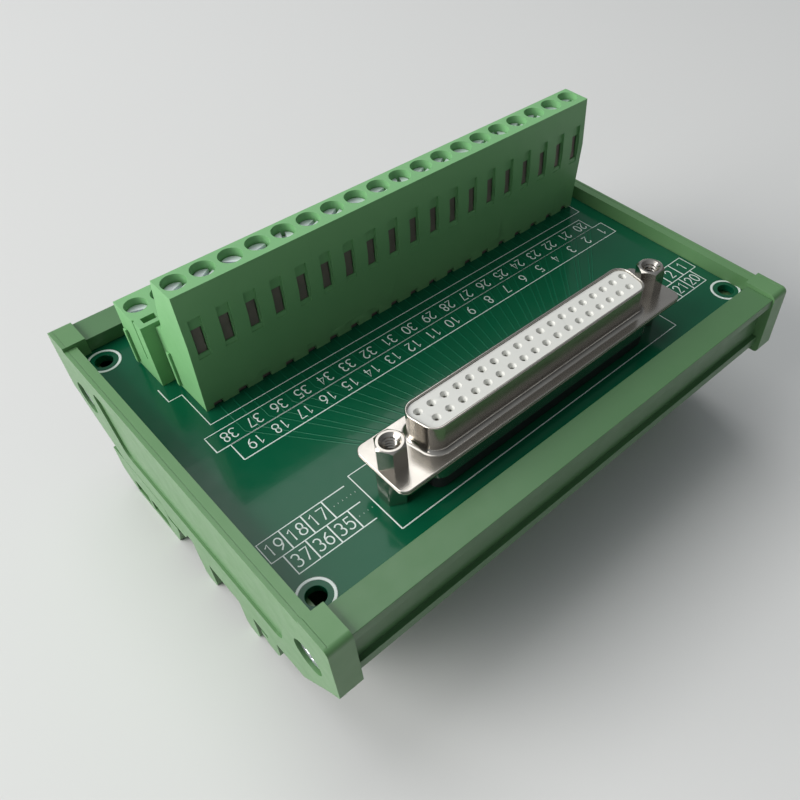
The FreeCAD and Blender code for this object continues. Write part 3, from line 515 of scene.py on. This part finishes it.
def soften_all():
    """Every piece with its own radius: soft for mouldings, small for pressed sheet."""
    softened("carrier_profile", 0.22 * MM)
    for word in ("left", "right"):
        softened("end_plate_" + word, 0.3 * MM, segments=3, recesses=parting_groove(word))
        softened("rail_latch_" + word, 0.25 * MM)
        softened("end_plate_screws_" + word, 0.28 * MM, segments=3)
    for side, word in ((-1, "left"), (1, "right")):
        threaded_post(side, word)
    terminal_blocks()
    softened("dsub_front_insulator", 0.14 * MM)
    contact_mouths()
    softened("dsub_front_shell", 0.2 * MM, segments=3)
    softened("dsub_rear_shell", 0.1 * MM)
    softened("jack_spacers", 0.15 * MM)
    softened("circuit_board", 0.05 * MM, segments=1)
    for node in frame["nodes"]:
        if node.startswith("clamp_screw"):
            softened(node, 0.13 * MM)
        if node.startswith("clamp_cage"):
            softened(node, 0.12 * MM, segments=1)


# Camera where the photograph was taken from, solved from the connector's standard sizes.
def photo_camera():
    place = Vector((-75.7, -93.6, 105.4)) * MM + Vector((0, 0, BOARD_TOP))
    heading = math.radians(44.71)
    down = math.radians(47.3)
    roll = math.radians(1.1)
    level = math.cos(down)
    forward = Vector((math.sin(heading) * level, math.cos(heading) * level, -math.sin(down)))
    right = Vector((math.cos(heading), -math.sin(heading), 0))
    up = right.cross(forward)
    tilted_right = right * math.cos(roll) + up * math.sin(roll)
    tilted_up = up * math.cos(roll) - right * math.sin(roll)
    data = bpy.data.cameras.new("photo_camera")
    data.sensor_width = 36
    data.sensor_fit = "AUTO"
    data.lens = 35.73
    data.shift_x = -0.1126
    data.shift_y = 0.0093
    data.clip_start = 0.005
    camera = bpy.data.objects.new("photo_camera", data)
    bpy.context.scene.collection.objects.link(camera)
    turn = Matrix((tilted_right, tilted_up, -forward)).transposed().to_4x4()
    camera.matrix_world = Matrix.Translation(place) @ turn
    bpy.context.scene.camera = camera


# White ink on the board: plain numbers, tables and outlines, drawn as strokes.
# Widths are halves, as a stroke is drawn round its middle line.
INK_HIGH = 0.012 * MM
INK_WIDE = 0.13 * MM
RING_WIDE = 0.28 * MM
TRACK_HIGH = 0.006 * MM
TRACK_WIDE = 0.19 * MM


def arc(a, b, wide, high, first, last, steps=10):
    """Points along part of an ellipse, angles in degrees."""
    turns = [math.radians(first + (last - first) * k / steps) for k in range(steps + 1)]
    return [(a + wide * math.cos(t), b + high * math.sin(t)) for t in turns]


# Strokes of the ten digits in a cell 0.6 wide and 1 high, then narrowed; STEP is from one to the next.
CELL_WIDE = 0.6
DIGIT_WIDE = 0.84
DIGIT_STEP = 0.82
DIGITS = {
    "0": [arc(0.30, 0.50, 0.29, 0.50, 0, 360, 16)],
    "1": [[(0.08, 0.78), (0.34, 1.0), (0.34, 0.0)]],
    "2": [arc(0.30, 0.71, 0.27, 0.29, 165, -35) + [(0.02, 0.0), (0.60, 0.0)]],
    "3": [arc(0.28, 0.74, 0.26, 0.26, 150, -80), arc(0.28, 0.27, 0.30, 0.27, 80, -150)],
    "4": [[(0.45, 0.0), (0.45, 1.0), (0.0, 0.30), (0.62, 0.30)]],
    "5": [[(0.56, 1.0), (0.12, 1.0), (0.07, 0.56)] + arc(0.28, 0.32, 0.30, 0.32, 125, -150)],
    "6": [arc(0.30, 0.31, 0.28, 0.31, 0, 360, 16), [(0.03, 0.40), (0.14, 0.74), (0.44, 1.0)]],
    "7": [[(0.0, 1.0), (0.58, 1.0), (0.20, 0.0)]],
    "8": [arc(0.30, 0.75, 0.23, 0.25, 0, 360, 16), arc(0.30, 0.26, 0.29, 0.26, 0, 360, 16)],
    "9": [arc(0.30, 0.69, 0.28, 0.31, 0, 360, 16), [(0.57, 0.60), (0.46, 0.26), (0.16, 0.0)]],
}


def stroke_piece(name, strokes, half_width, height, material):
    """One mesh of flat round-ended strokes lying on the board, from lists of plan points in mm."""
    curve = bpy.data.curves.new(name, "CURVE")
    curve.dimensions = "3D"
    curve.bevel_depth = half_width
    curve.bevel_resolution = 1
    curve.use_fill_caps = True
    for points in strokes:
        spline = curve.splines.new("POLY")
        spline.points.add(len(points) - 1)
        for place, (a, b) in zip(spline.points, points):
            place.co = (a * MM, b * MM, 0, 1)
    drawn = bpy.data.objects.new(name, curve)
    bpy.context.scene.collection.objects.link(drawn)
    bpy.context.view_layer.update()
    mesh = bpy.data.meshes.new_from_object(drawn)
    bpy.data.objects.remove(drawn)
    mesh.transform(Matrix.Translation((0, 0, BOARD_TOP)) @ Matrix.Diagonal((1, 1, height / half_width, 1)))
    mesh.name = name
    mesh.materials.clear()
    mesh.materials.append(material)
    piece = bpy.data.objects.new(name, mesh)
    bpy.context.scene.collection.objects.link(piece)
    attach(piece, ROOT)


def number(text, x, y, high, upside_down=False):
    """Strokes of a number centred on a plan point."""
    wide = DIGIT_STEP * (len(text) - 1) + CELL_WIDE
    sign = -1 if upside_down else 1
    strokes = []
    for place, digit in enumerate(text):
        for stroke in DIGITS[digit]:
            strokes.append([(x + sign * high * DIGIT_WIDE * (a + place * DIGIT_STEP - wide / 2),
                             y + sign * high * (b - 0.5)) for a, b in stroke])
    return strokes


def frame_line(x0, y0, x1, y1):
    """A closed rectangle between two corners."""
    return [(x0, y0), (x1, y0), (x1, y1), (x0, y1), (x0, y0)]


def dots(x, y, count, step):
    """A row of dots, each a very short stroke."""
    half = 0.03
    return [[(x + k * step - half, y), (x + k * step + half, y)] for k in range(count)]


def row_numbers():
    """Numbers beside the terminals in two frames, in mm: the lower row's poles, then the upper row's."""
    pole = POLE / MM
    first_low = POLE_LEFT / MM
    low_row = (-0.2, 4.0)
    tall_row = (-4.7, -0.2)
    high = 2.3
    strokes = [frame_line(-48.5, low_row[0], 48.6, low_row[1]),
               frame_line(-45.9, tall_row[0], 51.5, tall_row[1])]
    for k in range(LEVEL_POLES):
        strokes += number(str(2 * LEVEL_POLES - k), first_low + k * pole, sum(low_row) / 2, high, True)
        strokes += number(str(LEVEL_POLES - k), first_low + (k + 0.5) * pole, sum(tall_row) / 2, high, True)
    return strokes


def end_tables():
    """The two small tables at the ends of the connector, in mm, with dots after the longer one's rows."""
    cell = 4.09
    high = 2.5
    top, middle, low = -20.7, -25.05, -29.4
    strokes = []
    for side, upper, lower in ((-1, ("19", "18", "17"), ("37", "36", "35")), (1, ("1", "2"), ("20", "21"))):
        edge = side * 54.0
        inner = side * 37.1
        strokes.append([(inner, top), (edge, top), (edge, middle), (inner, middle)])
        low_edge = side * 51.95
        strokes.append([(low_edge, middle), (low_edge, low), (inner, low)])
        for texts, start, above, below in ((upper, edge, top, middle), (lower, low_edge, middle, low)):
            for k, text in enumerate(texts):
                wall = start - side * cell * (k + 1)
                strokes.append([(wall, above), (wall, below)])
                strokes += number(text, wall + side * cell / 2, (above + below) / 2, high)
        if side < 0:
            strokes += dots(-40.7, (top + middle) / 2, 6, 0.84)
            strokes += dots(-38.9, (middle + low) / 2, 4, 0.86)
    return strokes


def silk_print():
    """All the white print: numbers, tables, outlines round the blocks and the connector, and hole rings."""
    strokes = row_numbers()
    strokes.append([(-48.6, 20.2), (-48.6, 16.2), (-46.0, 16.2), (-46.0, 6.2), (51.2, 6.2), (51.2, 20.2)])
    strokes.append(frame_line(-35.4, -33.8, 35.5, -19.5))
    strokes += end_tables()
    stroke_piece("silk_print", strokes, INK_WIDE, INK_HIGH, INK)
    hole_x, hole_y, ring = 52.25, 34.15, 2.95
    rings = [arc(sx * hole_x, sy * hole_y, ring, ring, 0, 360, 40) for sx in (-1, 1) for sy in (-1, 1)]
    stroke_piece("hole_rings", rings, RING_WIDE, INK_HIGH, INK)


def copper_traces():
    """Tracks under the solder mask, fanned out from each contact to its terminal pole."""
    pole = POLE / MM
    first_low = POLE_LEFT / MM
    pitch = CONTACT_PITCH / MM
    contact_y, pole_y = -26.3, 9.5
    strokes = []
    for count, shift, fan_start, fan_end in ((LONG_ROW, 0.5, -22.5, 2.0), (SHORT_ROW, 1.0, -23.5, 1.0)):
        for k in range(count):
            off = k - (count - 1) / 2
            start = off * pitch
            end = first_low + (k + shift) * pole
            strokes.append([(start, contact_y), (start, fan_start + 0.1 * abs(off)),
                            (end, fan_end - 0.12 * abs(off)), (end, pole_y)])
    stroke_piece("copper_traces", strokes, TRACK_WIDE, TRACK_HIGH, MASKED_COPPER)


# Light: a large window to the left and behind, a weak ceiling and a room that is darker in front.
LAMP_AIM = (0, 0, 0.02)


def area_lamp(name, place, size, power, tint):
    data = bpy.data.lights.new(name, "AREA")
    data.shape = "RECTANGLE"
    data.size = size[0]
    data.size_y = size[1]
    data.energy = power
    data.color = tint
    lamp = bpy.data.objects.new(name, data)
    bpy.context.scene.collection.objects.link(lamp)
    lamp.location = place
    lamp.rotation_euler = (Vector(LAMP_AIM) - Vector(place)).to_track_quat("-Z", "Y").to_euler()


def room_light():
    """A room that is bright towards the window and darker behind the photographer."""
    world = bpy.data.worlds.new("room")
    world.use_nodes = True
    nodes = world.node_tree.nodes
    links = world.node_tree.links
    place = nodes.new("ShaderNodeTexCoord")
    towards = nodes.new("ShaderNodeVectorMath")
    towards.operation = "DOT_PRODUCT"
    towards.inputs[1].default_value = Vector((-0.55, 0.65, 0.55)).normalized()
    level = nodes.new("ShaderNodeMapRange")
    level.inputs["From Min"].default_value = -0.7
    level.inputs["From Max"].default_value = 0.9
    level.inputs["To Min"].default_value = 0.08
    level.inputs["To Max"].default_value = 0.52
    links.new(place.outputs["Generated"], towards.inputs[0])
    links.new(towards.outputs["Value"], level.inputs["Value"])
    links.new(level.outputs["Result"], nodes["Background"].inputs["Strength"])
    nodes["Background"].inputs["Color"].default_value = (0.90, 0.95, 1.0, 1)
    bpy.context.scene.world = world


def studio():
    """A pale table top under the lamps."""
    mesh = bpy.data.meshes.new("table_top")
    form = bmesh.new()
    bmesh.ops.create_grid(form, x_segments=1, y_segments=1, size=3.0)
    form.to_mesh(mesh)
    form.free()
    floor = bpy.data.objects.new("table_top", mesh)
    bpy.context.scene.collection.objects.link(floor)
    material, nodes, links, shader = new_material("pale_table")
    place = nodes.new("ShaderNodeTexCoord")
    cloud = noise(nodes, scale=3)
    tone = nodes.new("ShaderNodeMix")
    tone.data_type = "RGBA"
    tone.inputs["A"].default_value = (0.62, 0.62, 0.605, 1)
    tone.inputs["B"].default_value = (0.66, 0.66, 0.65, 1)
    links.new(place.outputs["Object"], cloud.inputs["Vector"])
    links.new(cloud.outputs["Fac"], tone.inputs["Factor"])
    links.new(tone.outputs["Result"], shader.inputs["Base Color"])
    shader.inputs["Roughness"].default_value = 0.55
    mesh.materials.append(material)
    area_lamp("window", (-1.25, 0.50, 0.72), size=(1.2, 0.9), power=27.0, tint=(1.0, 0.99, 0.97))
    area_lamp("ceiling", (0.05, 0.45, 1.1), size=(1.0, 0.8), power=4.5, tint=(1.0, 1.0, 1.0))
    room_light()
    bpy.context.scene.view_settings.view_transform = "Standard"


soften_all()
copper_traces()
silk_print()
photo_camera()
studio()
